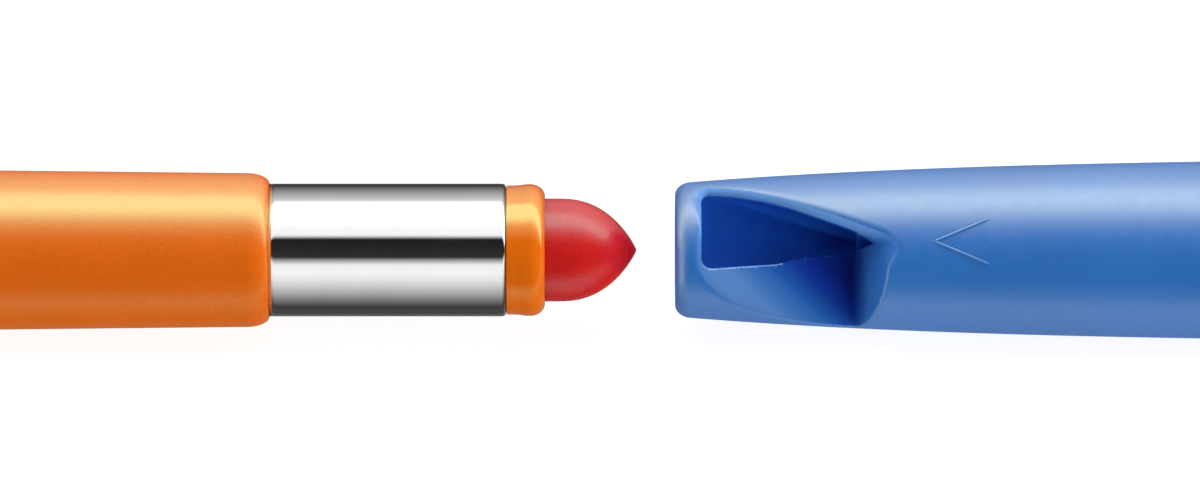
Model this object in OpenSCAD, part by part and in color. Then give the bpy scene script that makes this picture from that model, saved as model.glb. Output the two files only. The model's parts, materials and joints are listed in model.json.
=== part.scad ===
// Twist-up gel marker with a pull-off cap that carries its own sharpener.
// The axis of the marker lies along X. X = 0 is the shoulder where the cap
// seats, +X points out of the tip, +Z is up. All sizes in millimetres.

/* [Gel stick] */
// Diameter of the gel stick
gel_d = 8; // [7.8:0.05:8.05]
// Length of the gel that stands out of the nozzle
tip_out = 7.1; // [6:0.1:7.4]

/* [Front end] */
// Outer diameter of the bright front collar
collar_d = 10.33; // [10.2:0.01:10.5]
// Length of collar in front of the barrel shoulder
collar_len = 18.4; // [16:0.1:19]
// Largest diameter of the nozzle lip
lip_d = 10.25; // [10.1:0.05:10.3]
// Length of the nozzle in front of the collar
nozzle_len = 3; // [2.6:0.1:3.4]

/* [Barrel] */
// Barrel diameter just behind the rounded shoulder
shoulder_d = 11.96; // [11.8:0.02:12.2]
// Barrel diameter at its rear end
barrel_rear_d = 13.58; // [13.2:0.02:13.9]
// Length of the barrel
barrel_len = 78; // [77:0.5:80]

/* [Twist knob] */
// Diameter over the crests of the knob
knob_d = 13.94; // [13.6:0.02:14.2]
// Length of the knob
knob_len = 12.6; // [11:0.2:14]
// Number of finger flutes around the knob
flutes = 20; // [12:1:24]

/* [Feed screw] */
// Advance of the gel for one turn of the knob
lead = 4; // [3.8:0.1:4.2]
// Outside diameter of the thread on the plunger rod
thread_d = 4.7; // [4.4:0.05:4.8]

/* [Sharpener cap] */
// Distance from the gel point to the cap in the drawn position
cap_gap = 3; // [2.5:0.1:6]
// Overall length of the cap
cap_len = 48; // [47:0.5:52]
// Diameter of the cap at the sharpener end
crown_d = 10.44; // [10.3:0.02:10.7]
// Entry diameter of the sharpener
entry_d = 8.4; // [8.3:0.02:8.5]
// How far the sharpener window is turned up from horizontal, in degrees
window_up = 20; // [0:5:90]

/* [Hidden] */
$fn = 96;

// derived stations along X
collar_r = collar_d / 2;
collar_tail = 14;                    // collar hidden inside the barrel
collar_wall = 0.365;
tail_r = collar_r - 0.05;             // stepped down and tapered where the barrel holds it
tube_r = collar_r - collar_wall;     // nozzle tube fits the collar bore
bore_r = gel_d / 2 + 0.1;            // the gel slides in this bore
nozzle_x = collar_len + nozzle_len;  // front face of the nozzle
tip_x = nozzle_x + tip_out;          // point of the gel
point_len = 6.07;                    // curved part of the gel point
tube_back = -25.8;
bush_back = -32;
cup_back = 4;
cup_front = 10;
cup_bore_r = gel_d / 2 - 0.5;
rod_back = -33;
rod_front = 2;
rod_core_r = 1.7;
sleeve_r = 3.6;
sleeve_bore_r = thread_d / 2 + 0.25;
sleeve_front = -26.4;
fit = 0.05;                          // running clearance on radius
bush_len = 8;
knob_x = -barrel_len - 0.4;
knob_back = knob_x - knob_len;
neck_r = 5.4;                        // the knob's neck turns inside the end of the barrel
neck_len = 0.9;
plug_r = 4.7;
crown_x = tip_x + cap_gap;           // sharpener end of the cap
mouth_x = crown_x + cap_len;
liner_r = 5.95;
liner_bore_r = collar_r + 0.025;
crown_r = crown_d / 2;

// solid of revolution about X from a list of [radius, x]
module rev(pts) rotate([0, 90, 0]) rotate_extrude() polygon(pts);

// straight tube about X
module tube(r_in, r_out, x0, x1)
    rev([[r_in, x0], [r_out, x0], [r_out, x1], [r_in, x1]]);

// quarter of an ellipse, from (r0 + a, x0) round to (r0, x0 + b)
function corner(r0, x0, a, b, n = 8) =
    [for (i = [0 : n]) [r0 + a * cos(90 * i / n), x0 + b * sin(90 * i / n)]];

// radius of the gel point at a share s of its length
function point_r(s) = gel_d / 2 * pow(max(0, 1 - pow(s, 2.4)), 0.86);

// radius of the cap's outside at x: it swells quickly, then settles
function cap_r(x) = crown_r + 2.05 * (1 - exp(-0.0407 * (x - crown_x - 0.54)));

// a prism seen square on from the sharpener's window side: outline in X and Z
module window_prism(pts, depth0, depth1)
    rotate([90, 0, 0]) translate([0, 0, depth0])
        linear_extrude(depth1 - depth0) polygon(pts);

// a prism seen from above: outline in X and distance towards the window side
module flat_prism(pts, z0, z1)
    mirror([0, 1, 0]) translate([0, 0, z0]) linear_extrude(z1 - z0) polygon(pts);

module barrel() color([0.85, 0.42, 0.10]) rev(concat(
    [[tube_r, -collar_tail], [tail_r - 0.03, -collar_tail], [tail_r, 0]],
    [for (i = [8 : -1 : 0]) corner(collar_r, -1.75, shoulder_d / 2 - collar_r, 1.75)[i]],
    [[barrel_rear_d / 2, -barrel_len + 0.4], [barrel_rear_d / 2 - 0.4, -barrel_len],
     [5.6, -barrel_len], [5.6, -barrel_len + bush_len], [5.3, -barrel_len + bush_len],
     [5.3, bush_back - 1], [tube_r, bush_back]]));

module front_collar() color([0.85, 0.85, 0.87]) rev(concat(
    [[tube_r, -collar_tail], [tail_r - 0.03, -collar_tail], [tail_r, 0], [collar_r, 0]],
    corner(collar_r - 0.3, collar_len - 0.3, 0.3, 0.3, 6),
    [[tube_r, collar_len]]));

module nozzle_tube() color([0.87, 0.48, 0.10]) difference() {
    rev(concat(
        [[bore_r, tube_back], [tube_r, tube_back], [tube_r, collar_len],
         [5.01, collar_len], [5.03, collar_len + 0.85], [5.07, collar_len + 1.25]],
        corner(lip_d / 2 - 0.95, nozzle_x - 1.15, 0.95, 1.15, 10),
        [[bore_r + 0.12, nozzle_x], [bore_r, nozzle_x - 0.12]]));
    // keyways for the cup's two keys
    for (s = [-1, 1])
        translate([tube_back - 1, s * 4.1 - 0.45, -0.8])
            cube([cup_front - 0.8 - tube_back + 1, 0.9, 1.6]);
}

module sleeve_bush() color([0.92, 0.92, 0.90]) tube(sleeve_r + fit, tube_r, bush_back, tube_back);

module rear_bush() color([0.92, 0.92, 0.90])
    tube(sleeve_r + fit, 5.6, knob_x + neck_len + 0.2, -barrel_len + bush_len);

module gel_stick() color([0.80, 0.12, 0.12]) rev(concat(
    [[0, cup_back + 1], [cup_bore_r, cup_back + 1], [cup_bore_r, cup_front], [gel_d / 2, cup_front]],
    [for (i = [0 : 24]) let (s = i / 24) [point_r(s), tip_x - point_len + point_len * s]]));

module gel_cup() color([0.93, 0.93, 0.91]) difference() {
    union() {
        rev([[0, cup_back], [gel_d / 2, cup_back], [gel_d / 2, cup_front], [0, cup_front]]);
        for (s = [-1, 1])
            translate([cup_back, s * 4.05 - 0.4, -0.7]) cube([4, 0.8, 1.4]);
    }
    rev([[0, cup_back + 1], [cup_bore_r, cup_back + 1], [cup_bore_r, cup_front + 1], [0, cup_front + 1]]);
    rev([[0, cup_back - 1], [1.2, cup_back - 1], [1.2, cup_back + 1.5], [0, cup_back + 1.5]]);
}

// single-start left-hand thread: turning the knob clockwise, seen from behind, feeds the gel out
function ridge(a) = a <= 40 || a >= 320 ? thread_d / 2 : a <= 70 || a >= 290
    ? rod_core_r + (thread_d / 2 - rod_core_r) * 0.3 : rod_core_r;

module plunger_rod() color([0.93, 0.93, 0.91]) {
    translate([rod_back, 0, 0]) rotate([0, 90, 0])
        linear_extrude(rod_front - rod_back, twist = 360 * (rod_front - rod_back) / lead,
                       slices = ceil(12 * (rod_front - rod_back) / lead), $fn = 18)
            polygon([for (a = [0 : 20 : 340]) ridge(a) * [cos(a), sin(a)]]);
    rev([[0, rod_front - 0.5], [1.5, rod_front - 0.5], [1.5, cup_back], [1.2, cup_back],
         [1.2, cup_back + 1], [0, cup_back + 1]]);
}

module drive_sleeve() color([0.90, 0.90, 0.88]) {
    rev([[sleeve_bore_r, sleeve_front], [sleeve_r, sleeve_front],
         [sleeve_r, -barrel_len + bush_len + 1.2], [4.4, -barrel_len + bush_len + 1.2],
         [4.4, -barrel_len + bush_len + 0.2], [sleeve_r, -barrel_len + bush_len + 0.2],
         [sleeve_r, -barrel_len + 4.4], [3, -barrel_len + 4.4], [3, -barrel_len + 3],
         [sleeve_r, -barrel_len + 3], [sleeve_r, knob_x - 7.6], [0, knob_x - 7.6],
         [0, knob_x - 5.6], [sleeve_bore_r, knob_x - 5.6]]);
    // two lugs ride in the groove of the thread, half a lead apart
    for (k = [[rod_back + lead, 0], [rod_back + 1.5 * lead, 180]])
        translate([k[0], 0, 0]) rotate([k[1], 0, 0])
            translate([0, 0, rod_core_r + 0.2]) cylinder(h = sleeve_bore_r - rod_core_r + 0.2, r = 0.7);
}

module friction_ring() color([0.12, 0.12, 0.13])
    translate([-barrel_len + 3.7, 0, 0]) rotate([0, 90, 0])
        rotate_extrude() translate([3.315, 0]) circle(r = 0.31, $fn = 32);

module twist_knob() color([0.85, 0.42, 0.10]) difference() {
    rev(concat(
        [[sleeve_r, knob_x + neck_len], [neck_r, knob_x + neck_len], [neck_r, knob_x],
         [knob_d / 2 - 0.4, knob_x], [knob_d / 2, knob_x - 0.4]],
        [[knob_d / 2, knob_back + 1.6]],
        [for (i = [1 : 8]) [knob_d / 2 - 1.2 + 1.2 * cos(90 * i / 8), knob_back + 1.6 - 1.6 * sin(90 * i / 8)]],
        [[plug_r, knob_back], [plug_r, knob_back + 2.4], [0, knob_back + 2.4], [0, knob_x - 7.6], [sleeve_r, knob_x - 7.6]]));
    for (i = [0 : flutes - 1]) rotate([(i + 0.5) * 360 / flutes, 0, 0])
        translate([knob_back + 2.4, 0, knob_d / 2 + 0.45]) rotate([0, 90, 0])
            cylinder(h = knob_len - 4, r = 0.8, $fn = 48);
}

module end_plug() color([0.80, 0.12, 0.12])
    rev([[0, knob_back - 0.5], [plug_r - 0.6, knob_back - 0.5], [plug_r - 0.3, knob_back - 0.4],
         [plug_r, knob_back - 0.1], [plug_r, knob_back + 2.4], [0, knob_back + 2.4]]);

// conical sharpener with a side window and a sloping flat that ends in a cutting edge
cone_x = crown_x + 2.6;
cone_end = crown_x + 14.75;
win_l = crown_x + 1.75;
win_r = crown_x + 14.05;
// upper side of the window, and depth of the sloping flat, at distances behind the crown
top_edge = [[2.95, 4.1], [4.4, 4.03], [6.3, 3.72], [8.3, 3.28], [10, 2.74], [11.7, 2.17], [12.9, 1.75], [14.05, 1.31]];
top_tail = [[15.4, 0.8], [16.75, 0.3], [18.2, -0.2]];
flat_line = [[1.75, 5.2], [2.95, 4.5], [4.4, 3.78], [6.3, 2.98], [9.25, 2], [11.65, 1.42], [14.05, 1.06]];
function behind_crown(pts) = [for (p = pts) [crown_x + p[0], p[1]]];

module sharpener_window() rotate([-window_up, 0, 0]) {
    // opening into the cone
    window_prism(concat(
        [[win_l + 0.25, 3.2], [win_l + 0.4, 3.72], [win_l + 0.75, 4.02]], behind_crown(top_edge),
        [[win_r, -0.45], [win_l + 8.2, -0.43], [win_l + 7.5, -0.57], [win_l + 6.7, -0.9],
         [win_l + 6, -1.06], [win_l + 1.2, -1.4], [win_l + 0.7, -1.22], [win_l + 0.38, -0.8], [win_l + 0.25, -0.3]]), 0, 9);
    // sloping flat with its end wall, kept below the window's upper side
    intersection() {
        flat_prism(concat(behind_crown(flat_line), [[win_r + 2.7, 7.2], [win_r + 2.7, 9], [win_l, 9]]), -9, 6);
        window_prism(concat([[win_l - 1, -9], [win_l - 1, 4.1]], behind_crown(top_edge), behind_crown(top_tail),
                            [[crown_x + 18.2, -9]]), 0, 9);
    }
}

module cap_shell() color([0.33, 0.50, 0.76]) difference() {
    rev(concat(
        [[0, crown_x + 0.15], [entry_d / 2, crown_x + 0.15], [entry_d / 2 + 0.15, crown_x]],
        [for (i = [1 : 6]) [entry_d / 2 + 0.15 + (crown_r - entry_d / 2 - 0.15) * sin(15 * i),
                            crown_x + 1.15 - 1.15 * cos(15 * i)]],
        [for (i = [1 : 15]) let (x = crown_x + 1.15 + (cap_len - 1.55) * i / 15) [cap_r(x), x]],
        [[cap_r(mouth_x) - 0.35, mouth_x], [0, mouth_x]]));
    // sharpener cavity
    rev([[0, crown_x - 1], [entry_d / 2, crown_x - 1], [entry_d / 2, cone_x],
         [0.35, cone_end], [0, cone_end]]);
    // room for the collar, the nozzle and the gel point
    rev([[0, mouth_x - 29.1], [4.4, mouth_x - 28.6], [5.45, mouth_x - 23.5], [5.45, mouth_x - 18.5],
         [liner_r, mouth_x - 18.5], [liner_r, mouth_x + 1], [0, mouth_x + 1]]);
    sharpener_window();
}

module cap_liner() color([0.24, 0.31, 0.45]) rev([
    [liner_bore_r, mouth_x - 18.5], [liner_r, mouth_x - 18.5], [liner_r, mouth_x - 0.3],
    [liner_bore_r + 0.3, mouth_x - 0.3], [liner_bore_r, mouth_x - 0.6]]);

barrel();
front_collar();
nozzle_tube();
sleeve_bush();
rear_bush();
gel_stick();
gel_cup();
plunger_rod();
drive_sleeve();
friction_ring();
twist_knob();
end_plug();
cap_shell();
cap_liner();
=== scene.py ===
import json
import math

import bmesh
import bpy
import numpy as np
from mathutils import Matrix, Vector

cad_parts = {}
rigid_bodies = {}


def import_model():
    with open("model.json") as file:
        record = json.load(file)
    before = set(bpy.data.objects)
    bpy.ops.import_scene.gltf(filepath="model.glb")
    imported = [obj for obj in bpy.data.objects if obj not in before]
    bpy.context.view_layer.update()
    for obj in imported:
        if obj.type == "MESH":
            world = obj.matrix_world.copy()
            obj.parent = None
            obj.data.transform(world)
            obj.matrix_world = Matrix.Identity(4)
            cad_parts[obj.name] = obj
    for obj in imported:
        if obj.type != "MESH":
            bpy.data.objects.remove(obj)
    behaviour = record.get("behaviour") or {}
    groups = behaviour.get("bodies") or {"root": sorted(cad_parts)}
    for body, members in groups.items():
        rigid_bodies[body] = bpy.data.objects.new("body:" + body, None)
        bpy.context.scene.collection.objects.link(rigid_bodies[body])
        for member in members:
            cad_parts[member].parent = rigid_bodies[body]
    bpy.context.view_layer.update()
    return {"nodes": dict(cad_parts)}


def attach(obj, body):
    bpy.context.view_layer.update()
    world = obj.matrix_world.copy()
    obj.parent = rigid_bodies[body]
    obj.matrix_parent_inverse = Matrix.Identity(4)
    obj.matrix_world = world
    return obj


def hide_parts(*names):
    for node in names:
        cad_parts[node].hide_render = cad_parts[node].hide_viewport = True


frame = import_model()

nodes = frame["nodes"]
MM = 0.001
UP = math.radians(20.0)  # the sharpener window and the camera stand this far above the horizon


# ---------------------------------------------------------------- mesh helpers
def new_object(name, verts, faces):
    me = bpy.data.meshes.new(name)
    me.from_pydata([tuple(v) for v in verts], [], faces)
    me.validate()
    me.update()
    ob = bpy.data.objects.new(name, me)
    bpy.context.scene.collection.objects.link(ob)
    return ob


def tidy(ob, weld=1e-8):
    bm = bmesh.new()
    bm.from_mesh(ob.data)
    bmesh.ops.remove_doubles(bm, verts=bm.verts, dist=weld)
    bmesh.ops.dissolve_degenerate(bm, edges=bm.edges, dist=weld)
    bmesh.ops.recalc_face_normals(bm, faces=bm.faces)
    if bm.calc_volume(signed=True) < 0:
        bmesh.ops.reverse_faces(bm, faces=bm.faces)
    bm.to_mesh(ob.data)
    bm.free()
    ob.data.shade_smooth()
    return ob


def weighted(ob):
    m = ob.modifiers.new("normals", "WEIGHTED_NORMAL")
    m.mode = "FACE_AREA"
    m.weight = 80
    m.keep_sharp = False
    return ob


def fillet(pts, n=6):
    """[(r, x, rounding)] to a dense outline; rounding 0 keeps the corner."""
    out = []
    k = len(pts)
    for i, (r, x, f) in enumerate(pts):
        p = np.array([r, x], float)
        if f <= 0:
            out.append(p)
            continue
        a = np.array(pts[i - 1][:2], float) - p
        b = np.array(pts[(i + 1) % k][:2], float) - p
        la, lb = np.linalg.norm(a), np.linalg.norm(b)
        a, b = a / la, b / lb
        ang = math.acos(max(-1, min(1, float(a @ b))))
        t = min(f / math.tan(ang / 2), la * 0.49, lb * 0.49)
        rad = t * math.tan(ang / 2)
        c = p + (a + b) / np.linalg.norm(a + b) * rad / math.sin(ang / 2)
        s, e = p + a * t, p + b * t
        a0 = math.atan2(*(s - c)[::-1])
        a1 = math.atan2(*(e - c)[::-1])
        d = (a1 - a0 + math.pi) % (2 * math.pi) - math.pi
        out += [c + rad * np.array([math.cos(a0 + d * j / n), math.sin(a0 + d * j / n)]) for j in range(n + 1)]
    return out


def lathe(name, outline, segs=192, closed=True, radius=None):
    """Solid of revolution about X; outline in mm as (r, x). radius(r, x, angle) may reshape it."""
    pts = [np.array(p[:2], float) for p in outline]
    ang = np.arange(segs) * 2 * math.pi / segs
    verts, faces = [], []
    for r, x in pts:
        rr = np.full(segs, r) if radius is None else radius(r, x, ang)
        for a, q in zip(ang, rr):
            verts.append((x * MM, q * math.cos(a) * MM, q * math.sin(a) * MM))
    n = len(pts)
    for i in range(n if closed else n - 1):
        j = (i + 1) % n
        if pts[i][0] < 1e-6 and pts[j][0] < 1e-6:
            continue
        for s in range(segs):
            t = (s + 1) % segs
            faces.append((i * segs + s, i * segs + t, j * segs + t, j * segs + s))
    return weighted(tidy(new_object(name, verts, faces)))


def dense(pts, step=1.5):
    """Adds points along the straight stretches of an outline."""
    out = []
    for i, p in enumerate(pts):
        q = pts[(i + 1) % len(pts)]
        p, q = np.array(p[:2], float), np.array(q[:2], float)
        n = max(1, int(np.linalg.norm(q - p) / step))
        out += [p + (q - p) * k / n for k in range(n)]
    return out


# ---------------------------------------------------------------- materials
def srgb(r, g, b):
    f = lambda c: (c / 255) / 12.92 if c <= 10 else ((c / 255 + 0.055) / 1.055) ** 2.4
    return (f(r), f(g), f(b), 1.0)


def scaled(c, k):
    return tuple(min(1.0, x * k) for x in c[:3]) + (1.0,)


class Mat:
    """Small helper to wire a principled material in object space."""

    def __init__(self, name):
        self.m = bpy.data.materials.new(name)
        self.m.use_nodes = True
        self.t = self.m.node_tree
        self.p = self.t.nodes["Principled BSDF"]
        self.co = self.t.nodes.new("ShaderNodeTexCoord").outputs["Object"]

    def node(self, kind, **kw):
        n = self.t.nodes.new(kind)
        for k, v in kw.items():
            setattr(n, k, v)
        return n

    def link(self, a, b):
        self.t.links.new(a, b)

    def noise(self, scale, detail=3.0, rough=0.55, stretch=None):
        n = self.node("ShaderNodeTexNoise")
        n.inputs["Scale"].default_value = scale
        n.inputs["Detail"].default_value = detail
        n.inputs["Roughness"].default_value = rough
        src = self.co
        if stretch:
            mp = self.node("ShaderNodeMapping")
            mp.inputs["Scale"].default_value = stretch
            self.link(self.co, mp.inputs["Vector"])
            src = mp.outputs["Vector"]
        self.link(src, n.inputs["Vector"])
        return n.outputs["Fac"]

    def cells(self, scale):
        n = self.node("ShaderNodeTexVoronoi")
        n.inputs["Scale"].default_value = scale
        self.link(self.co, n.inputs["Vector"])
        return n

    def ramp(self, fac, stops):
        n = self.node("ShaderNodeValToRGB")
        els = n.color_ramp.elements
        while len(els) < len(stops):
            els.new(0.5)
        for e, (pos, col) in zip(els, stops):
            e.position = pos
            e.color = col
        self.link(fac, n.inputs["Fac"])
        return n.outputs["Color"]

    def span(self, fac, lo, hi, a=0.3, b=0.7):
        n = self.node("ShaderNodeMapRange")
        n.inputs["From Min"].default_value = a
        n.inputs["From Max"].default_value = b
        n.inputs["To Min"].default_value = lo
        n.inputs["To Max"].default_value = hi
        self.link(fac, n.inputs["Value"])
        return n.outputs["Result"]

    def along(self, direction, stops):
        """brightness against the distance along a direction in object space, in mm"""
        dot = self.node("ShaderNodeVectorMath", operation="DOT_PRODUCT")
        dot.inputs[1].default_value = direction
        self.link(self.co, dot.inputs[0])
        a, b = stops[0][0], stops[-1][0]
        return self.ramp(self.span(dot.outputs["Value"], 0.0, 1.0, a * MM, b * MM), [((x - a) / (b - a), (v, v, v, 1)) for x, v in stops])

    def times(self, a, b, kind="Math"):
        n = self.node("ShaderNode" + kind, operation="MULTIPLY")
        self.link(a, n.inputs[0])
        self.link(b, n.inputs[1])
        return n.outputs[0]

    def blend(self, under, over, fac):
        n = self.node("ShaderNodeMix", data_type="RGBA", blend_type="MIX")
        self.link(fac, n.inputs["Factor"])
        self.link(under, n.inputs["A"])
        n.inputs["B"].default_value = over
        return n.outputs["Result"]

    def bump(self, height, strength, distance, under=None):
        n = self.node("ShaderNodeBump")
        n.inputs["Strength"].default_value = strength
        n.inputs["Distance"].default_value = distance
        self.link(height, n.inputs["Height"])
        if under is not None:
            self.link(under, n.inputs["Normal"])
        return n.outputs["Normal"]

    def set(self, **kw):
        for k, v in kw.items():
            self.p.inputs[k.replace("_", " ")].default_value = v
        return self


def pearl_orange(name="barrel_pearl"):
    m = Mat(name)
    base = (0.54, 0.092, 0.002, 1)
    drift = m.noise(160, 4)
    flakes = m.cells(14000)
    sep = m.node("ShaderNodeSeparateColor")
    m.link(flakes.outputs["Color"], sep.inputs["Color"])
    tint = m.ramp(drift, [(0.3, scaled(base, 0.97)), (0.7, scaled(base, 1.04))])
    tint = m.blend(tint, (0.70, 0.20, 0.012, 1), m.span(sep.outputs["Red"], 0.0, 0.30, 0.75, 1.0))
    m.link(tint, m.p.inputs["Base Color"])
    m.link(m.span(sep.outputs["Green"], 0.25, 0.36, 0.0, 1.0), m.p.inputs["Roughness"])
    n1 = m.bump(sep.outputs["Blue"], 0.14, 0.000008)
    n2 = m.bump(m.noise(700, 3), 0.05, 0.00003, n1)
    m.link(n2, m.p.inputs["Normal"])
    m.set(IOR=2.45, Specular_Tint=(0.40, 1.0, 0.48, 1))
    return m.m


def chrome(name="collar_chrome_plate"):
    m = Mat(name)
    haze = m.noise(90, 5, 0.6)
    m.link(m.ramp(haze, [(0.3, (0.86, 0.86, 0.865, 1)), (0.7, (0.91, 0.91, 0.91, 1))]), m.p.inputs["Base Color"])
    m.link(m.span(haze, 0.045, 0.085), m.p.inputs["Roughness"])
    m.link(m.bump(m.noise(260, 2, 0.5, (0.25, 1, 1)), 0.012, 0.0001), m.p.inputs["Normal"])
    m.set(Metallic=1.0, Specular_Tint=(0.25, 0.25, 0.26, 1))
    return m.m


def gloss_orange(name="nozzle_gloss"):
    m = Mat(name)
    base = (0.545, 0.102, 0.002, 1)
    m.link(m.ramp(m.noise(240, 3), [(0.3, scaled(base, 0.96)), (0.7, scaled(base, 1.04))]), m.p.inputs["Base Color"])
    m.link(m.span(m.noise(900, 3), 0.10, 0.16), m.p.inputs["Roughness"])
    m.link(m.bump(m.noise(500, 2), 0.02, 0.0001), m.p.inputs["Normal"])
    m.set(IOR=2.35, Specular_Tint=(0.6, 1.0, 0.42, 1))
    return m.m


def wax_red(name="gel_wax"):
    m = Mat(name)
    base = (0.375, 0.008, 0.007, 1)
    m.link(m.ramp(m.noise(420, 5, 0.6), [(0.3, scaled(base, 0.93)), (0.72, scaled(base, 1.08))]), m.p.inputs["Base Color"])
    m.link(m.span(m.noise(1500, 4, 0.6), 0.24, 0.34), m.p.inputs["Roughness"])
    turn = m.noise(60, 3, 0.6, (30, 1, 1))
    n1 = m.bump(turn, 0.06, 0.00006)
    n2 = m.bump(m.noise(2600, 4, 0.6), 0.07, 0.00004, n1)
    m.link(n2, m.p.inputs["Normal"])
    # the point is rubbed dull by use
    m.link(m.along((1.0, 0.0, -0.6), [(25.4, 0.5), (26.6, 0.30), (27.8, 0.08)]), m.p.inputs["Specular IOR Level"])
    m.set(IOR=1.66, Specular_Tint=(0.32, 0.94, 0.94, 1), Subsurface_Weight=0.45, Subsurface_Radius=(1.0, 0.3, 0.25), Subsurface_Scale=0.0012)
    return m.m


def satin_blue(name="cap_satin"):
    m = Mat(name)
    base = (0.014, 0.102, 0.335, 1)
    m.link(m.ramp(m.noise(130, 4), [(0.3, scaled(base, 0.96)), (0.7, scaled(base, 1.04))]), m.p.inputs["Base Color"])
    m.link(m.span(m.noise(1200, 4, 0.6), 0.34, 0.43), m.p.inputs["Roughness"])
    n1 = m.bump(m.noise(5200, 3, 0.6), 0.08, 0.00003)
    n2 = m.bump(m.noise(300, 2), 0.03, 0.0001, n1)
    m.link(n2, m.p.inputs["Normal"])
    m.set(IOR=2.2, Specular_Tint=(0.97, 1.0, 0.76, 1))
    return m.m


def matt_blue(name, base, lo, hi, ior, deep=None, painted_light_tone=None):
    """the moulded, unpolished inside of the sharpener; when shade tones are given, painted shade darkens its colour
    into the corner of the notch, and painted light makes it lighter on the end wall and under the upper edge
    """
    m = Mat(name)
    grain = m.noise(220, 4)
    if deep:
        up = (0.0, math.sin(UP), math.cos(UP))
        # painted shadow of the overhanging upper wall, darkening diagonally towards the corner
        painted_shadow_slant = m.along((1.0, 1.1 * up[1], 1.1 * up[2]), [(33.9, 0.0), (41.9, 1.0)])
        # the painted shade eases off across the end wall and towards the upper edge
        wall = m.along((1.0, 0.0, 0.0), [(45.3, 1.0), (45.8, 0.72), (46.3, 0.42), (46.9, 0.24), (47.8, 0.16)])
        under = m.along(up, [(-0.3, 1.0), (0.7, 0.0)])
        # colour runs from the lit base down to the tones of painted shade
        tint = m.ramp(m.times(m.times(painted_shadow_slant, wall), under), [(0.0, base)] + deep)
        # painted light: a lighter, lit tone on the end wall
        tint = m.blend(tint, (0.026, 0.122, 0.40, 1), m.along((1.0, 0.0, 0.0), [(45.4, 0.0), (45.9, 0.25), (46.5, 0.8), (47.1, 1.0)]))
        # painted light: lighter still towards the upper edge
        tint = m.blend(tint, painted_light_tone, m.along(up, [(0.6, 0.0), (1.6, 1.0)]))
        tint = m.times(tint, m.ramp(grain, [(0.3, (0.95, 0.95, 0.95, 1)), (0.7, (1, 1, 1, 1))]), "VectorMath")
    else:
        tint = m.ramp(grain, [(0.3, scaled(base, 0.95)), (0.7, scaled(base, 1.05))])
    m.link(tint, m.p.inputs["Base Color"])
    m.link(m.span(m.noise(1500, 4, 0.6), lo, hi), m.p.inputs["Roughness"])
    m.link(m.bump(m.noise(2600, 3, 0.6), 0.10, 0.00004), m.p.inputs["Normal"])
    m.set(IOR=ior)
    return m.m


def moulded(name, rgb, lo=0.38, hi=0.52, grain=2200, sub=0.0):
    m = Mat(name)
    base = srgb(*rgb)
    m.link(m.ramp(m.noise(180, 4), [(0.3, scaled(base, 0.96)), (0.7, scaled(base, 1.03))]), m.p.inputs["Base Color"])
    m.link(m.span(m.noise(900, 4), lo, hi), m.p.inputs["Roughness"])
    m.link(m.bump(m.noise(grain, 3), 0.08, 0.00004), m.p.inputs["Normal"])
    m.set(IOR=1.5)
    if sub:
        m.set(Subsurface_Weight=sub, Subsurface_Radius=(1.0, 1.0, 1.0), Subsurface_Scale=0.0005)
    return m.m


def rubber(name="ring_rubber"):
    m = Mat(name)
    base = (0.018, 0.018, 0.019, 1)
    m.link(m.ramp(m.noise(900, 4), [(0.3, scaled(base, 0.8)), (0.7, scaled(base, 1.3))]), m.p.inputs["Base Color"])
    m.link(m.span(m.noise(2500, 4), 0.55, 0.75), m.p.inputs["Roughness"])
    m.link(m.bump(m.noise(4000, 3), 0.15, 0.00003), m.p.inputs["Normal"])
    return m.m


M_ORANGE = pearl_orange()
M_CHROME = chrome()
M_NOZZLE = gloss_orange()
M_GEL = wax_red()
M_CAP = satin_blue()
M_CAP_IN = matt_blue("cap_inside", (0.009, 0.085, 0.44, 1), 0.62, 0.78, 1.22)
# colour of painted light and shade: the lit base, the tones of painted shade into the corner, and a light tone of
# painted light under the upper edge
M_CAP_NOTCH_PAINTED_SHADE = matt_blue("cap_notch_painted_shade", (0.052, 0.128, 0.31, 1), 0.42, 0.54, 1.10, [
    (0.15, (0.032, 0.105, 0.285, 1)), (0.32, (0.0190, 0.082, 0.272, 1)), (0.47, (0.0095, 0.056, 0.235, 1)),
    (0.62, (0.0062, 0.037, 0.212, 1)), (0.73, (0.0042, 0.025, 0.200, 1)), (0.83, (0.0036, 0.020, 0.195, 1)),
    (1.0, (0.0040, 0.0145, 0.150, 1))], (0.085, 0.205, 0.45, 1))
M_PLUG = moulded("plug_red", (166, 22, 20), 0.34, 0.46)
M_WHITE = moulded("inner_white", (236, 236, 230), 0.40, 0.55, sub=0.1)
M_LINER = moulded("liner_slate", (60, 80, 116), 0.34, 0.48, sub=0.1)
M_RUBBER = rubber()


def dress(ob, mat, body, replaces=()):
    ob.data.materials.clear()
    ob.data.materials.append(mat)
    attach(ob, body)
    if replaces:
        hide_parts(*replaces)
    return ob


# ---------------------------------------------------------------- stations, in mm, as the CAD has them
COLLAR_R, TUBE_R, TAIL_R, COLLAR_L = 5.165, 4.8, 5.115, 18.4
NOZ_X, TIP_X, POINT = 21.4, 28.5, 6.07
CROWN_X, MOUTH_X, CROWN_R = 31.5, 79.5, 5.22
CONE_X, CONE_END, ENTRY_R = 34.1, 46.25, 4.2
WIN_L, WIN_R = 33.25, 45.55


def cap_r(x):
    return CROWN_R + 2.05 * (1 - np.exp(-0.0407 * (x - CROWN_X - 0.54)))


def eased(pts, spread):
    """a soft curve through a list of (distance behind the crown, value): values and slopes on a fine grid"""
    xs = np.arange(-3, 24, 0.02)
    ys = np.interp(xs, [p[0] for p in pts], [p[1] for p in pts])
    k = np.exp(-0.5 * (np.arange(-3 * spread, 3 * spread + 0.01, 0.02) / spread) ** 2)
    ys = np.convolve(np.pad(ys, len(k) // 2, mode="edge"), k / k.sum(), mode="same")[len(k) // 2:][:len(xs)]
    return xs + CROWN_X, ys, np.gradient(ys, 0.02)


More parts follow.
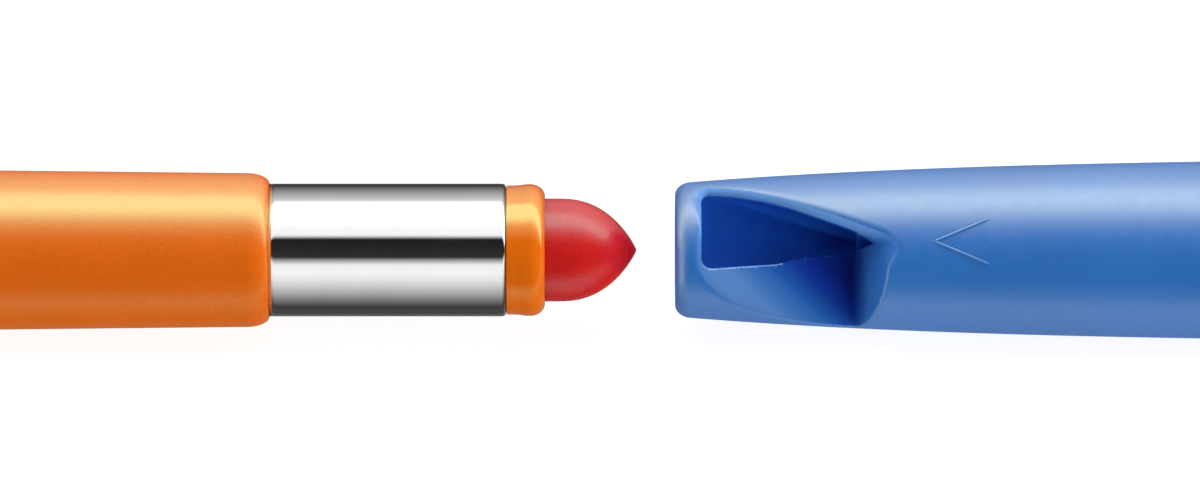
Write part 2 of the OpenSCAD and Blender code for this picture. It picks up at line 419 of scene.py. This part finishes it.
TOP_EDGE = eased([(-3, 4.12), (2.95, 4.12), (4.4, 4.05), (6.3, 3.76), (8.3, 3.30), (10, 2.76), (11.7, 2.17),
                  (12.9, 1.75), (14.05, 1.31), (15.4, 0.8), (16.75, 0.3), (18.2, -0.2), (24, -2.2)], 0.55)
FLAT_LINE = eased([(-3, 8), (1.75, 5.2), (2.95, 4.5), (4.4, 3.78), (6.3, 2.98), (9.25, 2.0), (11.65, 1.42),
                   (14.05, 1.06), (24, -0.4)], 0.5)


def z_top(x):
    return np.interp(x, TOP_EDGE[0], TOP_EDGE[1])


# ---------------------------------------------------------------- barrel half
corner = [(COLLAR_R + (5.98 - COLLAR_R) * math.cos(t), -1.75 + 1.75 * math.sin(t))
          for t in np.linspace(math.pi / 2, 0, 17)]
outer = fillet([(6.79, -77.99, 0), (6.79, -78.0, 0)])
prof = [(TUBE_R, -14.0), (TAIL_R - 0.03, -14.0), (TAIL_R, -0.02)] + corner
prof += [(5.98 + (6.79 - 5.98) * k / 30, -1.75 - (77.55 - 1.75) * k / 30) for k in range(1, 31)]
prof += [(6.79 - 0.42 * (1 - math.cos(t)), -77.55 - 0.45 * math.sin(t)) for t in np.linspace(0.26, math.pi / 2, 6)]
prof += [(5.6, -78.0), (5.6, -70.0), (5.3, -70.0), (5.3, -33.0), (TUBE_R, -32.0)]
barrel = dress(lathe("barrel_body", prof, 256), M_ORANGE, "barrel", ["barrel"])

prof = [(TUBE_R, -14.0), (TAIL_R - 0.03, -14.0), (TAIL_R, 0.0), (COLLAR_R, 0.0)]
prof += [(COLLAR_R, x) for x in np.linspace(0.6, COLLAR_L - 0.36, 24)]
prof += [(COLLAR_R - 0.34 * (1 - math.cos(t)), COLLAR_L - 0.34 + 0.34 * math.sin(t)) for t in np.linspace(0, math.pi / 2, 9)]
prof += [(TUBE_R, COLLAR_L)]
collar = dress(lathe("front_collar_sleeve", prof, 256), M_CHROME, "barrel", ["front_collar"])

lip = [(5.125 - 0.95 + 0.95 * math.cos(t), NOZ_X - 1.15 + 1.15 * math.sin(t)) for t in np.linspace(0, math.pi / 2, 15)]
prof = [(4.1, -25.8), (TUBE_R, -25.8), (TUBE_R, COLLAR_L + 0.02)]
prof += fillet([(4.9, COLLAR_L + 0.02, 0), (5.01, COLLAR_L + 0.02, 0.07), (5.02, COLLAR_L + 0.6, 0)])[1:]
prof += [(5.03, COLLAR_L + 0.85), (5.045, COLLAR_L + 1.05), (5.085, COLLAR_L + 1.3), (5.115, COLLAR_L + 1.6)] + lip
prof += [(4.1 + 0.075 * (1 - math.sin(t)), NOZ_X - 0.075 * (1 - math.cos(t))) for t in np.linspace(0, math.pi / 2, 6)[1:]]
prof += [(4.1, x) for x in np.linspace(NOZ_X - 1.0, -20, 20)]
nozzle = lathe("nozzle_tube_lip", prof, 192)
keys = tidy(new_object("keyway_cutter", *(lambda bx: (
    [(x, y, z) for k in bx for x in k[0] for y in k[1] for z in k[2]],
    [tuple(8 * i + q for q in f) for i in range(len(bx)) for f in
     ((0, 1, 3, 2), (4, 6, 7, 5), (0, 4, 5, 1), (2, 3, 7, 6), (0, 2, 6, 4), (1, 5, 7, 3))]))(
    [((-0.0268, 0.0092), (s * 0.0041 - 0.00045, s * 0.0041 + 0.00045), (-0.0008, 0.0008)) for s in (-1, 1)])))
cut = nozzle.modifiers.new("keyways", "BOOLEAN")
cut.operation = "DIFFERENCE"
cut.solver = "EXACT"
cut.object = keys
bpy.context.view_layer.objects.active = nozzle
bpy.ops.object.modifier_move_to_index(modifier="keyways", index=0)
bpy.ops.object.modifier_apply(modifier="keyways")
bpy.data.objects.remove(keys)
dress(nozzle, M_NOZZLE, "barrel", ["nozzle_tube"])

# ---------------------------------------------------------------- gel stick
prof = [(0, 5.0), (3.5, 5.0), (3.5, 10.0)] + fillet([(3.5, 10.0, 0), (4.0, 10.0, 0.12), (4.0, 12, 0)])[1:]
prof += [(4.0, x) for x in np.linspace(13.5, TIP_X - POINT, 8)]
prof += [(4.0 * (1 - s ** 2.4) ** 0.86, TIP_X - POINT + POINT * s) for s in np.concatenate([np.linspace(0.03, 0.9, 40), np.linspace(0.91, 0.998, 22)])]
prof += [(0, TIP_X - 0.004)]
gel = dress(lathe("gel_stick_core", prof, 160, closed=False), M_GEL, "gel", ["gel_stick"])


# ---------------------------------------------------------------- sharpener cap, as one blended surface
def rmax(a, b, r):
    return np.minimum(np.maximum(a, b), -r) + np.hypot(np.maximum(a + r, 0), np.maximum(b + r, 0))


def poly_sd(px, py, pts):
    px, py = np.broadcast_arrays(px, py)
    d2 = np.full(px.shape, 1e9)
    s = np.ones(px.shape)
    for i in range(len(pts)):
        ax, ay = pts[i - 1]
        bx, by = pts[i]
        ex, ey = bx - ax, by - ay
        wx, wy = px - ax, py - ay
        t = np.clip((wx * ex + wy * ey) / (ex * ex + ey * ey), 0, 1)
        d2 = np.minimum(d2, (wx - ex * t) ** 2 + (wy - ey * t) ** 2)
        c1, c2, c3 = py >= ay, py < by, ex * wy > ey * wx
        s = np.where((c1 & c2 & c3) | (~c1 & ~c2 & ~c3), -s, s)
    return s * np.sqrt(d2)


WINDOW = [tuple(p) for p in fillet(
    [(WIN_L + 0.25, 4.12, 0.72)] + [(x, float(z_top(x)), 0) for x in np.linspace(WIN_L + 1.4, WIN_R - 0.3, 24)]
    + [(WIN_R, float(z_top(WIN_R)), 0.08), (WIN_R, -0.45, 0.08)]
    + [(WIN_L + 8.4 - 2.6 * t, -0.43 - 0.64 * (3 * t * t - 2 * t ** 3), 0) for t in np.linspace(0, 1, 15)]
    + [(WIN_L + 0.25, -1.46, 0.75)], 8)]


# the window's point runs on as a narrow slit in the end wall
SLIT = [(WIN_R - 0.4, 1.24), (WIN_R, 1.22), (WIN_R + 0.65, 0.92), (WIN_R + 1.27, 0.52), (WIN_R, -0.06), (WIN_R - 0.4, -0.06)]


def slit_sd(x, v, w):
    return np.maximum(poly_sd(x, w, SLIT), 0.9 - v)


def cap_parts(x, v, w):
    rho = np.sqrt(v * v + w * w)
    body = rmax((rho - cap_r(x)) / 0.87, (CROWN_X - x) / 1.15, 1.0) * 0.9
    cone = np.where(x < CONE_X, rho - ENTRY_R, (rho - ENTRY_R + 0.3169 * (x - CONE_X)) * 0.953)
    cav = np.maximum(cone, x - CONE_END)
    win = np.maximum(poly_sd(x, w, WINDOW), -v)
    return body, cav, win


def cap_sdf(x, v, w):
    body, cav, win = cap_parts(x, v, w)
    top_w = z_top(x)
    slope = np.interp(x, TOP_EDGE[0], TOP_EDGE[2])
    top = (w - top_w) / np.sqrt(1 + slope ** 2)
    slope = np.interp(x, FLAT_LINE[0], FLAT_LINE[2])
    flat = (np.interp(x, FLAT_LINE[0], FLAT_LINE[1]) - v) / np.sqrt(1 + slope ** 2)
    end = (x - WIN_R - (v - 1.06) * 0.4397) * 0.915
    flat = rmax(rmax(flat, end, 0.5), top, 0.3)
    flat = rmax(flat, WIN_L - x, 0.15)
    s = rmax(-win, -flat, 0.09 + 0.10 * np.clip((WIN_L + 8.0 - x) / 2.0, 0, 1))
    s = rmax(s, -slit_sd(x, v, w), 0.05)
    # the upper side of the notch is rounded over much more than the rest
    s = rmax(body, s, 0.42 + 0.75 * np.clip(1 - (top_w - w) / 1.6, 0, 1) ** 0.8)
    soft = np.clip((w - 0.3) / 0.9, 0, 1) * np.clip((x - WIN_L - 0.3) / 1.2, 0, 1)
    return rmax(s, -cav, 0.09 + 0.5 * soft)


def surface_nets(f, lo, h):
    neg = f < 0
    nx, ny, nz = f.shape
    cnt = np.zeros((nx - 1, ny - 1, nz - 1), np.int16)
    acc = np.zeros((nx - 1, ny - 1, nz - 1, 3), np.float32)
    for ax in range(3):
        a = [slice(None)] * 3
        b = [slice(None)] * 3
        a[ax], b[ax] = slice(0, -1), slice(1, None)
        fa, fb = f[tuple(a)], f[tuple(b)]
        cross = neg[tuple(a)] != neg[tuple(b)]
        t = np.where(cross, fa / np.where(cross, fa - fb, 1), 0).astype(np.float32)
        o1, o2 = [k for k in range(3) if k != ax]
        for i in (0, 1):
            for j in (0, 1):
                s = [slice(None)] * 3
                s[o1] = slice(i, i - 1 if i - 1 else None)
                s[o2] = slice(j, j - 1 if j - 1 else None)
                c = cross[tuple(s)]
                cnt += c
                acc[..., ax] += np.where(c, t[tuple(s)], 0)
                acc[..., o1] += c * i
                acc[..., o2] += c * j
    live = cnt > 0
    idx = np.full(live.shape, -1, np.int64)
    cells = np.argwhere(live)
    idx[live] = np.arange(len(cells))
    verts = lo + (cells + acc[live] / cnt[live][:, None]) * h
    faces = []
    for ax in range(3):
        a = [slice(None)] * 3
        b = [slice(None)] * 3
        a[ax], b[ax] = slice(0, -1), slice(1, None)
        fl = neg[tuple(a)]
        cross = fl != neg[tuple(b)]
        o1, o2 = [(1, 2), (2, 0), (0, 1)][ax]
        e = np.argwhere(cross)
        e = e[(e[:, o1] > 0) & (e[:, o2] > 0) & (e[:, o1] < f.shape[o1] - 1) & (e[:, o2] < f.shape[o2] - 1)]
        d1 = np.zeros(3, int)
        d2 = np.zeros(3, int)
        d1[o1], d2[o2] = 1, 1
        q = np.stack([idx[tuple((e - d1 - d2).T)], idx[tuple((e - d2).T)], idx[tuple(e.T)], idx[tuple((e - d1).T)]], 1)
        inside = fl[tuple(e.T)]
        q[~inside] = q[~inside][:, ::-1]
        faces.append(q)
    return verts, np.concatenate(faces)


def grad(p, e=0.012):
    g = np.empty_like(p)
    for k in range(3):
        d = np.zeros(3)
        d[k] = e
        g[:, k] = (cap_sdf(*(p + d).T) - cap_sdf(*(p - d).T)) / (2 * e)
    return g


H = 0.11
SEAM = 49.4
gx = np.arange(CROWN_X - 0.33, SEAM + 0.9, H)
gv = np.arange(-6.82, 6.83, H)
field = cap_sdf(gx[:, None, None], gv[None, :, None], gv[None, None, :]).astype(np.float32)
pv, pf = surface_nets(field, np.array([gx[0], gv[0], gv[0]]), H)
for _ in range(4):
    g = grad(pv)
    d = cap_sdf(*pv.T)
    pv = pv - g * np.clip(d / np.maximum((g * g).sum(1), 0.25), -0.5 * H, 0.5 * H)[:, None]


def to_row(x, v, w):
    """cap coordinates (along, towards the window, up the picture) to the row frame, metres"""
    return (x * MM, (-v * math.cos(UP) + w * math.sin(UP)) * MM, (v * math.sin(UP) + w * math.cos(UP)) * MM)


me = bpy.data.meshes.new("cap_shell_body")
me.from_pydata([tuple(p) for p in pv], [], [tuple(int(k) for k in q) for q in pf])
bm = bmesh.new()
bm.from_mesh(me)
bmesh.ops.bisect_plane(bm, geom=bm.verts[:] + bm.edges[:] + bm.faces[:], dist=1e-6, plane_co=(SEAM, 0, 0), plane_no=(1, 0, 0), clear_outer=True)
rim = [e for e in bm.edges if e.is_boundary]
loop = {v for e in rim for v in e.verts}
loop = sorted(loop, key=lambda q: math.atan2(q.co.z, q.co.y))
for q in loop:
    a = math.atan2(q.co.z, q.co.y)
    q.co = (SEAM, cap_r(SEAM) * math.cos(a), cap_r(SEAM) * math.sin(a))
angs = [math.atan2(q.co.z, q.co.y) for q in loop]
tail = [(cap_r(x), x) for x in np.linspace(SEAM + 0.3, MOUTH_X - 0.45, 40)]
r_m = cap_r(MOUTH_X - 0.45)
tail += [(r_m - 0.42 + 0.42 * math.cos(t), MOUTH_X - 0.45 + 0.45 * math.sin(t)) for t in np.linspace(0.2, math.pi / 2, 8)]
tail += [(5.95 + 0.16 * (1 - math.sin(t)), MOUTH_X - 0.16 * (1 - math.cos(t))) for t in np.linspace(0, math.pi / 2, 5)]
tail += [(5.95, x) for x in np.linspace(MOUTH_X - 0.5, 61.0, 12)]
tail += [(5.45, 61.0), (5.45, 58.5), (5.45, 56.0), (4.93, 53.45), (4.4, 50.9), (4.2, 50.88), (2.1, 50.64)]
ring = loop
for r, x in tail:
    nxt = [bm.verts.new((x, r * math.cos(a), r * math.sin(a))) for a in angs]
    for i in range(len(ring)):
        j = (i + 1) % len(ring)
        bm.faces.new((ring[i], ring[j], nxt[j], nxt[i]))
    ring = nxt
pole = bm.verts.new((50.4, 0, 0))
for i in range(len(ring)):
    bm.faces.new((ring[i], ring[(i + 1) % len(ring)], pole))
bmesh.ops.recalc_face_normals(bm, faces=bm.faces)
mid = np.array([f.calc_center_median()[:] for f in bm.faces])
_, c_cav, c_win = cap_parts(*mid.T)
c_cut = np.minimum(np.abs(c_cav), np.abs(c_win))
radius = np.hypot(mid[:, 1], mid[:, 2])
deep = radius < cap_r(mid[:, 0]) - 0.75
ridge = deep & (mid[:, 2] > 0.25) & (mid[:, 0] < WIN_R - 0.02) & (c_cut < 0.35)
inner = (np.abs(c_cav) < 0.06) | ((np.abs(c_win) < 0.06) & deep) | ridge | ((mid[:, 0] > SEAM) & deep)
inner |= (np.abs(slit_sd(*mid.T)) < 0.06) & deep & (mid[:, 0] > WIN_R - 0.02)
# faces of kind 2 take the notch material, whose colour carries painted shade and painted light; the lip strip along the
# window's lower edge is left out of it and keeps the outer satin
notch = ~inner & (radius < cap_r(mid[:, 0]) - 0.10) & (mid[:, 0] > WIN_L) & (mid[:, 0] < SEAM) & (mid[:, 1] > 0.3)
lip = (c_win > 0.03) & (c_win < 0.17) & (mid[:, 0] < WIN_L + 6.6) & (mid[:, 2] < -0.3) & (mid[:, 1] > 0.3)
kind = np.where(inner, 1, np.where(notch & ~lip, 2, 0)).astype(np.int32)
for q in bm.verts:
    q.co = to_row(*q.co)
bmesh.ops.reverse_faces(bm, faces=bm.faces)
bmesh.ops.recalc_face_normals(bm, faces=bm.faces)
bm.to_mesh(me)
bm.free()
me.shade_smooth()
cap = bpy.data.objects.new("cap_shell_body", me)
bpy.context.scene.collection.objects.link(cap)
cap.data.set_sharp_from_angle(angle=math.radians(50))
dress(cap, M_CAP, "cap", ["cap_shell"])
cap.data.materials.append(M_CAP_IN)
cap.data.materials.append(M_CAP_NOTCH_PAINTED_SHADE)
cap.data.polygons.foreach_set("material_index", kind)

# raised chevron that points at the sharpener
path = [(55.70, 2.45), (51.42, 0.66), (55.70, -1.13)]
line = []
for (x0, w0), (x1, w1) in zip(path, path[1:]):
    n = 26
    line += [(x0 + (x1 - x0) * k / n, w0 + (w1 - w0) * k / n) for k in range(n)]
line.append(path[-1])
verts, faces = [], []
NS = 12
for i, (x, w) in enumerate(line):
    a = np.array(line[max(0, i - 1)])
    b = np.array(line[min(len(line) - 1, i + 1)])
    t = (b - a) / np.linalg.norm(b - a)
    side = np.array([-t[1], t[0]])
    end = min(i, len(line) - 1 - i)
    k = math.sqrt(max(0.02, 1 - (1 - min(end, 3) / 3) ** 2))
    miter = 1.0 / max(0.5, abs(side @ np.array([0.924, 0.382]))) if i == 26 else 1.0
    for j in range(NS):
        q = 2 * math.pi * j / NS
        px, pw = np.array([x, w]) + side * 0.115 * k * miter * math.cos(q)
        rr = cap_r(px) + 0.10 * k * math.sin(q) + 0.01
        verts.append(to_row(px, math.sqrt(rr * rr - pw * pw), pw))
for i in range(len(line) - 1):
    for j in range(NS):
        faces.append((i * NS + j, i * NS + (j + 1) % NS, (i + 1) * NS + (j + 1) % NS, (i + 1) * NS + j))
faces.append(tuple(range(NS)))
faces.append(tuple((len(line) - 1) * NS + j for j in range(NS)))
chevron = dress(tidy(new_object("cap_chevron", verts, faces)), M_CAP, "cap")

prof = fillet([(5.19, 61.02, 0.05), (5.93, 61.02, 0.1), (5.93, 79.2, 0.1), (5.49, 79.2, 0.08), (5.19, 78.85, 0.12)])
dress(lathe("cap_liner_sleeve", dense(prof, 2.0), 160), M_LINER, "cap", ["cap_liner"])

# ---------------------------------------------------------------- twist knob
KF, KB = -78.4, -91.0


def flute(r, x, ang):
    out = np.full(ang.shape, float(r))
    if r < 6.5 or x < -89.3 or x > -79.3:
        return out
    pitch = 2 * math.pi / 20
    a = (ang % pitch) - pitch / 2
    y = np.clip(np.abs(7.42 * np.sin(a)), 0, 0.86)
    cutr = 7.42 * np.cos(a) - np.sqrt(np.maximum(0.64 - np.minimum(y, 0.8) ** 2, 0))
    depth = np.maximum(0, 6.97 - cutr)
    depth = depth * np.clip((0.82 - y) / 0.16, 0, 1) ** 0.5
    e = min(1.0, max(0.0, (-79.35 - x) / 0.75)), min(1.0, max(0.0, (x + 89.25) / 0.75))
    k = math.sqrt(1 - (1 - e[0]) ** 2) * math.sqrt(1 - (1 - e[1]) ** 2)
    return out - depth * k


prof = [(3.6, KF + 0.9)] + fillet([(3.6, KF + 0.9, 0), (5.4, KF + 0.9, 0.1), (5.4, KF, 0)])[1:] + [(6.45, KF)]
prof += [(6.97 - 0.42 + 0.42 * math.sin(t), KF - 0.42 + 0.42 * math.cos(t)) for t in np.linspace(0.1, math.pi / 2, 7)]
prof += [(6.97, x) for x in list(np.linspace(-78.9, -80.2, 22)) + list(np.linspace(-80.6, -88.2, 20)) + list(np.linspace(-88.4, -89.35, 18))]
prof += [(5.77 + 1.2 * math.cos(t), KB + 1.6 - 1.6 * math.sin(t)) for t in np.linspace(0.05, math.pi / 2, 14)]
prof += fillet([(5.0, KB, 0), (4.7, KB, 0.12), (4.7, KB + 1.5, 0)])[1:]
prof += [(4.7, KB + 2.4), (0, KB + 2.4), (0, KF - 7.6), (3.6, KF - 7.6)]
dress(lathe("twist_knob_grip", prof, 480, radius=flute), M_ORANGE, "knob", ["twist_knob"])

prof = [(0, KB - 0.27), (0.3, KB - 0.27), (0.42, KB - 0.29), (0.5, KB - 0.33), (0.6, KB - 0.36), (0.75, KB - 0.37), (1.6, KB - 0.37),
        (2.55, KB - 0.375), (2.72, KB - 0.39), (2.82, KB - 0.42), (2.9, KB - 0.46), (3.0, KB - 0.49), (3.15, KB - 0.5), (4.1, KB - 0.5)]
prof += [(4.1 + 0.55 * math.sin(t), KB + 0.05 - 0.55 * math.cos(t)) for t in np.linspace(0.1, math.pi / 2, 9)]
prof += [(4.65, KB + 2.38), (0, KB + 2.38)]
dress(lathe("end_plug_disc", prof, 160, closed=False), M_PLUG, "knob", ["end_plug"])

# ---------------------------------------------------------------- hidden mechanism keeps its CAD shape
for name, mat in (("sleeve_bush", M_WHITE), ("rear_bush", M_WHITE), ("gel_cup", M_WHITE), ("plunger_rod", M_WHITE),
                  ("drive_sleeve", M_WHITE), ("friction_ring", M_RUBBER)):
    o = nodes[name]
    o.data.materials.clear()
    o.data.materials.append(mat)

# ---------------------------------------------------------------- floor, light, camera
FLOOR_Z = -6.975 * MM
floor = new_object("floor", [(-6, -6, FLOOR_Z), (6, -6, FLOOR_Z), (6, 6, FLOOR_Z), (-6, 6, FLOOR_Z)], [(0, 1, 2, 3)])
fm = Mat("floor_white")
fm.set(Base_Color=(0.16, 0.16, 0.16, 1), Roughness=0.9, Specular_IOR_Level=0.1, Emission_Color=(1, 1, 1, 1), Emission_Strength=0.90)
fm.m.cycles.emission_sampling = "NONE"
floor.data.materials.append(fm.m)
# the sheet shows to the camera only; the light that it would throw back up comes from a lamp under it
floor.visible_glossy = floor.visible_diffuse = floor.visible_transmission = floor.visible_shadow = False


def round_axis(t, vector, stops):
    """brightness against the angle round the marker's axis: 0 level in front, 90 overhead, 180 level behind, below 0 the floor side"""
    sp = t.nodes.new("ShaderNodeSeparateXYZ")
    t.links.new(vector, sp.inputs["Vector"])
    neg = t.nodes.new("ShaderNodeMath"); neg.operation = "MULTIPLY"; neg.inputs[1].default_value = -1
    t.links.new(sp.outputs["Y"], neg.inputs[0])
    at = t.nodes.new("ShaderNodeMath"); at.operation = "ARCTAN2"
    t.links.new(sp.outputs["Z"], at.inputs[0])
    t.links.new(neg.outputs[0], at.inputs[1])
    mr = t.nodes.new("ShaderNodeMapRange")
    mr.inputs["From Min"].default_value = -math.pi
    mr.inputs["From Max"].default_value = math.pi
    t.links.new(at.outputs[0], mr.inputs["Value"])
    cr = t.nodes.new("ShaderNodeValToRGB")
    els = cr.color_ramp.elements
    while len(els) < len(stops):
        els.new(0.5)
    for e, (deg, val) in zip(els, stops):
        e.position = (deg + 180) / 360
        e.color = (val, val, val, 1)
    t.links.new(mr.outputs[0], cr.inputs["Fac"])
    return cr.outputs["Color"]


STUDIO = [(-180, 0.14), (-165, 0.20), (-150, 0.22), (-125, 0.12), (-100, 0.05), (-90, 0.09), (-75, 0.24), (-60, 0.42),
          (-50, 0.20), (-43, 0.03), (0, 0.025), (7, 0.03), (39, 0.012), (44, 0.22), (52, 0.45), (60, 0.78), (68, 1.5), (79, 3.6), (105, 3.6),
          (111, 1.25), (116, 0.72), (122, 0.58), (140, 0.38), (165, 0.14), (180, 0.14)]
world = bpy.data.worlds.new("studio")
bpy.context.scene.world = world
world.use_nodes = True
wt = world.node_tree
bg = wt.nodes["Background"]
wt.links.new(round_axis(wt, wt.nodes.new("ShaderNodeTexCoord").outputs["Generated"], STUDIO), bg.inputs["Color"])
bg.inputs["Strength"].default_value = 1.0


def clear_light(name, verts, faces, group, level=0.0, stops=None):
    """a clear, glowing sheet, which adds its light only to the gloss of one group of pieces"""
    m = bpy.data.materials.new(name + "_light")
    m.use_nodes = True
    t = m.node_tree
    t.nodes.remove(t.nodes["Principled BSDF"])
    em, clear, add = (t.nodes.new("ShaderNode" + k) for k in ("Emission", "BsdfTransparent", "AddShader"))
    em.inputs["Color"].default_value = (level, level, level, 1)
    if stops:
        t.links.new(round_axis(t, t.nodes.new("ShaderNodeNewGeometry").outputs["Position"], stops), em.inputs["Color"])
    t.links.new(em.outputs["Emission"], add.inputs[0])
    t.links.new(clear.outputs["BSDF"], add.inputs[1])
    t.links.new(add.outputs[0], t.nodes["Material Output"].inputs["Surface"])
    m.cycles.emission_sampling = "NONE"
    ob = new_object(name, verts, faces)
    ob.data.materials.append(m)
    ob.visible_camera = ob.visible_diffuse = ob.visible_transmission = False
    ob.visible_volume_scatter = ob.visible_shadow = False
    ob.light_linking.receiver_collection = group


def card(name, stops, group):
    """such a sheet curved round the marker, as bright as its stops say"""
    arc = [math.radians(stops[0][0] + (stops[-1][0] - stops[0][0]) * k / 24) for k in range(25)]
    clear_light(name, [(x, -0.5 * math.cos(a), 0.5 * math.sin(a)) for a in arc for x in (-4, 4)],
                [(2 * k, 2 * k + 1, 2 * k + 3, 2 * k + 2) for k in range(24)], group, stops=stops)


bright = bpy.data.collections.new("bright_collar")
bright.objects.link(collar)
plastics = bpy.data.collections.new("plastics")
for ob in bpy.context.scene.objects:
    if ob.type == "MESH" and ob is not collar and ob is not floor:
        plastics.objects.link(ob)
gelled = bpy.data.collections.new("gel_only")
gelled.objects.link(gel)
edged = bpy.data.collections.new("cap_only")
for ob in (cap, chevron):
    edged.objects.link(ob)
clear_light("card_left", [(-0.7, -0.80, -0.6), (-0.7, -0.12, -0.6), (-0.7, -0.12, 0.5), (-0.7, -0.80, 0.5)], [(0, 1, 2, 3)], edged, 1.5)
card("card_low_cap", [(-150, 0.0), (-128, 0.14), (-105, 0.34), (-86, 0.44), (-68, 0.42), (-56, 0.36), (-40, 0.13), (-22, 0.0)], edged)
card("card_low_gel", [(-105, 0.0), (-86, 0.36), (-72, 0.52), (-54, 0.56), (-42, 0.20), (-26, 0.0)], gelled)
card("card_front", [(-75, 0.0), (-60, 0.03), (-51, 0.35), (-43, 0.68), (-34, 0.83), (-19, 0.99), (-6, 0.93), (0, 0.47), (7, 0.0)], bright)
card("card_mid", [(39, 0.0), (46, 0.74), (52, 0.58), (60, 0.26), (66, 0.0)], bright)
card("card_back", [(-180, 0.16), (-168, 0.70), (-150, 0.53), (-125, 0.0)], bright)
card("card_top", [(102, 0.3), (111, 0.8), (122, 0.9), (136, 0.8), (150, 0.5), (165, 0.3), (178, 0.0)], plastics)


def glow(name, place, size, watts):
    """a broad lamp aimed at the marker that adds no highlight of its own"""
    ob = bpy.data.objects.new(name, bpy.data.lights.new(name, "AREA"))
    ob.data.shape = "RECTANGLE"
    ob.data.size, ob.data.size_y = size
    ob.data.energy = watts
    ob.data.cycles.use_multiple_importance_sampling = False
    ob.location = place
    ob.rotation_mode = "QUATERNION"
    ob.rotation_quaternion = (-ob.location).to_track_quat("-Z", "Y")
    ob.visible_glossy = ob.visible_camera = False
    bpy.context.scene.collection.objects.link(ob)


glow("side_fill", (0.875, -0.77, 0.245), (0.7, 0.7), 16.0)
glow("back_fill", (-0.35, 0.95, 0.03), (0.7, 0.7), 10.0)
glow("floor_glow", (0, 0, -0.6), (4.0, 4.0), 68.0)

scene = bpy.context.scene
scene.view_settings.view_transform = "Standard"
scene.view_settings.look = "None"

PX = 12.875                       # picture pixels to a millimetre on the axis
LENS = 300.0
aim = Vector(((600 - 269.5) / PX * MM, 0, 0))
dist = LENS / 36.0 * (1200 / PX) * MM
back = Vector((0, -math.cos(UP), math.sin(UP)))
cam = bpy.data.objects.new("camera", bpy.data.cameras.new("camera"))
scene.collection.objects.link(cam)
cam.data.lens = LENS
cam.data.sensor_width = 36.0
cam.data.clip_start = 0.01
cam.data.clip_end = 60
cam.location = aim + back * dist
cam.rotation_mode = "QUATERNION"
cam.rotation_quaternion = (-back).to_track_quat("-Z", "Y")
scene.camera = cam
